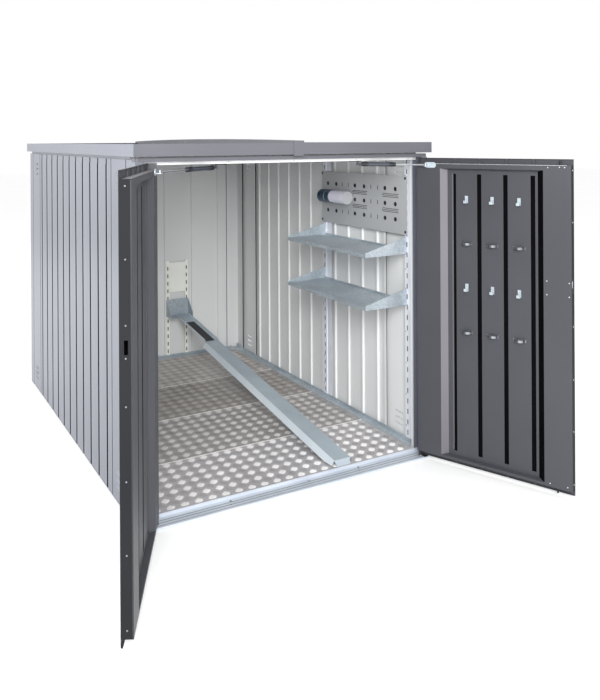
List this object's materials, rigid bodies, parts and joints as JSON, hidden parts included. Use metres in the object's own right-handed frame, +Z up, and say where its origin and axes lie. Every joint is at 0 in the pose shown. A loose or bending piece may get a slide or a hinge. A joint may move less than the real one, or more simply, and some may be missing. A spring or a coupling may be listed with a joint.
{
  "type": "bicycle locker",
  "caption": "Steel bicycle locker with a cambered roof, two hinged front doors on gas struts, a sloping wheel ramp, wall shelves and a three-way lock.",
  "frame": {"origin": "centre of the base on the ground", "axes": "+X to the right as seen from the front, +Y from the doors to the rear wall, +Z up"},
  "size_m": [1.9235, 2.6552, 1.47],
  "materials": {
    "painted_steel": "satin metallic grey",
    "painted_steel_white": "satin white",
    "door_paint": "satin dark grey",
    "galvanised_steel": "galvanised",
    "floor_steel": "raised tread",
    "black_steel": "semi gloss black",
    "strut_steel": "satin",
    "black_plastic": "matte",
    "rubber_pad": "matte",
    "brass_key": "satin",
    "tube_body": "gloss",
    "tube_cap": "gloss"
  },
  "bodies": {
    "cabin": {"base_rails": "galvanised_steel", "corner_brackets": "galvanised_steel", "floor_plate_1": "floor_steel", "floor_plate_2": "floor_steel", "floor_plate_3": "floor_steel", "floor_plate_4": "floor_steel", "sill": "galvanised_steel", "side_wall_left": "painted_steel", "side_wall_right": "painted_steel", "vent_panels": "painted_steel", "rear_posts": "painted_steel", "rear_wall": "painted_steel", "front_post_left": "painted_steel", "front_post_right": "painted_steel", "front_lintel": "painted_steel", "lintel_liner": "painted_steel_white", "strut_anchors": "black_steel", "eaves_rails": "painted_steel", "roof_trim_sides": "painted_steel", "roof_trim_front": "painted_steel", "roof_trim_rear": "painted_steel", "roof_panel_left": "painted_steel", "roof_panel_right": "painted_steel", "ridge_cover": "painted_steel", "roof_beam": "painted_steel_white", "post_hinges": "galvanised_steel", "wall_uprights": "galvanised_steel", "shelf_upper": "galvanised_steel", "shelf_lower": "galvanised_steel", "tool_panel": "galvanised_steel", "storage_tube": "tube_body", "tube_cap": "tube_cap", "bike_ramp": "galvanised_steel", "grip_pad": "rubber_pad", "ramp_rails": "galvanised_steel", "wheel_plate": "painted_steel_white", "ramp_bracket": "galvanised_steel"},
    "door_left": {"door_skin_left": "door_paint", "door_liner_left": "door_paint", "hinge_leaves_left": "galvanised_steel", "strut_bracket_left": "galvanised_steel"},
    "door_right": {"door_skin_right": "door_paint", "door_liner_right": "door_paint", "hinge_leaves_right": "galvanised_steel", "strut_bracket_right": "galvanised_steel", "lock_case": "galvanised_steel", "handle_rose": "black_steel", "rod_guides": "black_plastic", "tool_hooks": "door_paint", "holder_rings": "door_paint"},
    "lock_handle": {"twist_handle": "black_steel", "key_plug": "brass_key", "lock_cam": "galvanised_steel"},
    "upper_lock_rod": {"upper_rod": "galvanised_steel"},
    "lower_lock_rod": {"lower_rod": "galvanised_steel"},
    "side_lock_bolt": {"side_bolt": "galvanised_steel"},
    "strut_rod_left": {"strut_rod_left": "strut_steel"},
    "strut_rod_right": {"strut_rod_right": "strut_steel"},
    "strut_tube_left": {"strut_tube_left": "strut_steel"},
    "strut_tube_right": {"strut_tube_right": "strut_steel"}
  },
  "joints": [
    {"name": "door_right_hinge", "type": "hinge", "parent": "cabin", "child": "door_right", "pos_m": [0.67, -0.998, 0], "axis": [0, 0, 1], "range_deg": [-113.9, 0]},
    {"name": "door_left_hinge", "type": "hinge", "parent": "cabin", "child": "door_left", "pos_m": [-0.67, -0.998, 0], "axis": [0, 0, 1], "range_deg": [0, 116.5]},
    {"name": "strut_right_swivel", "type": "hinge", "parent": "door_right", "child": "strut_rod_right", "pos_m": [0.63429, -1.06304, 1.347], "axis": [0, 0, 1], "range_deg": [0, 137.48]},
    {"name": "strut_right_slide", "type": "slide", "parent": "strut_rod_right", "child": "strut_tube_right", "axis": [0.9164, -0.3998, -0.0193], "range_m": [0, 0.0353]},
    {"name": "strut_left_swivel", "type": "hinge", "parent": "door_left", "child": "strut_rod_left", "pos_m": [-0.63728, -1.0646, 1.347], "axis": [0, 0, 1], "range_deg": [-140.12, 0]},
    {"name": "strut_left_slide", "type": "slide", "parent": "strut_rod_left", "child": "strut_tube_left", "axis": [-0.9161, -0.4005, -0.0191], "range_m": [0, 0.0386]},
    {"name": "upper_rod_slide", "type": "slide", "parent": "door_right", "child": "upper_lock_rod", "axis": [0, 0, 1], "range_m": [0, 0.014]},
    {"name": "lower_rod_slide", "type": "slide", "parent": "door_right", "child": "lower_lock_rod", "axis": [0, 0, -1], "range_m": [0, 0.01401]},
    {"name": "side_bolt_slide", "type": "slide", "parent": "door_right", "child": "side_lock_bolt", "axis": [0.4051, -0.9143, 0], "range_m": [0, 0.01401]},
    {"name": "handle_turn", "type": "hinge", "parent": "door_right", "child": "lock_handle", "pos_m": [0.91368, -1.5627, 0.851], "axis": [-0.9143, -0.4051, 0], "range_deg": [0, 90.02]}
  ],
  "couplings": [
    {"joint": "strut_right_swivel", "follows": "door_right_hinge", "ratio": -1.207},
    {"joint": "strut_right_slide", "follows": "door_right_hinge", "m_per_rad": -0.01769},
    {"joint": "strut_left_swivel", "follows": "door_left_hinge", "ratio": -1.2027},
    {"joint": "strut_left_slide", "follows": "door_left_hinge", "m_per_rad": 0.018947},
    {"joint": "lower_rod_slide", "follows": "upper_rod_slide", "ratio": 1},
    {"joint": "side_bolt_slide", "follows": "upper_rod_slide", "ratio": 1},
    {"joint": "handle_turn", "follows": "upper_rod_slide", "rad_per_m": 112.2}
  ]
}
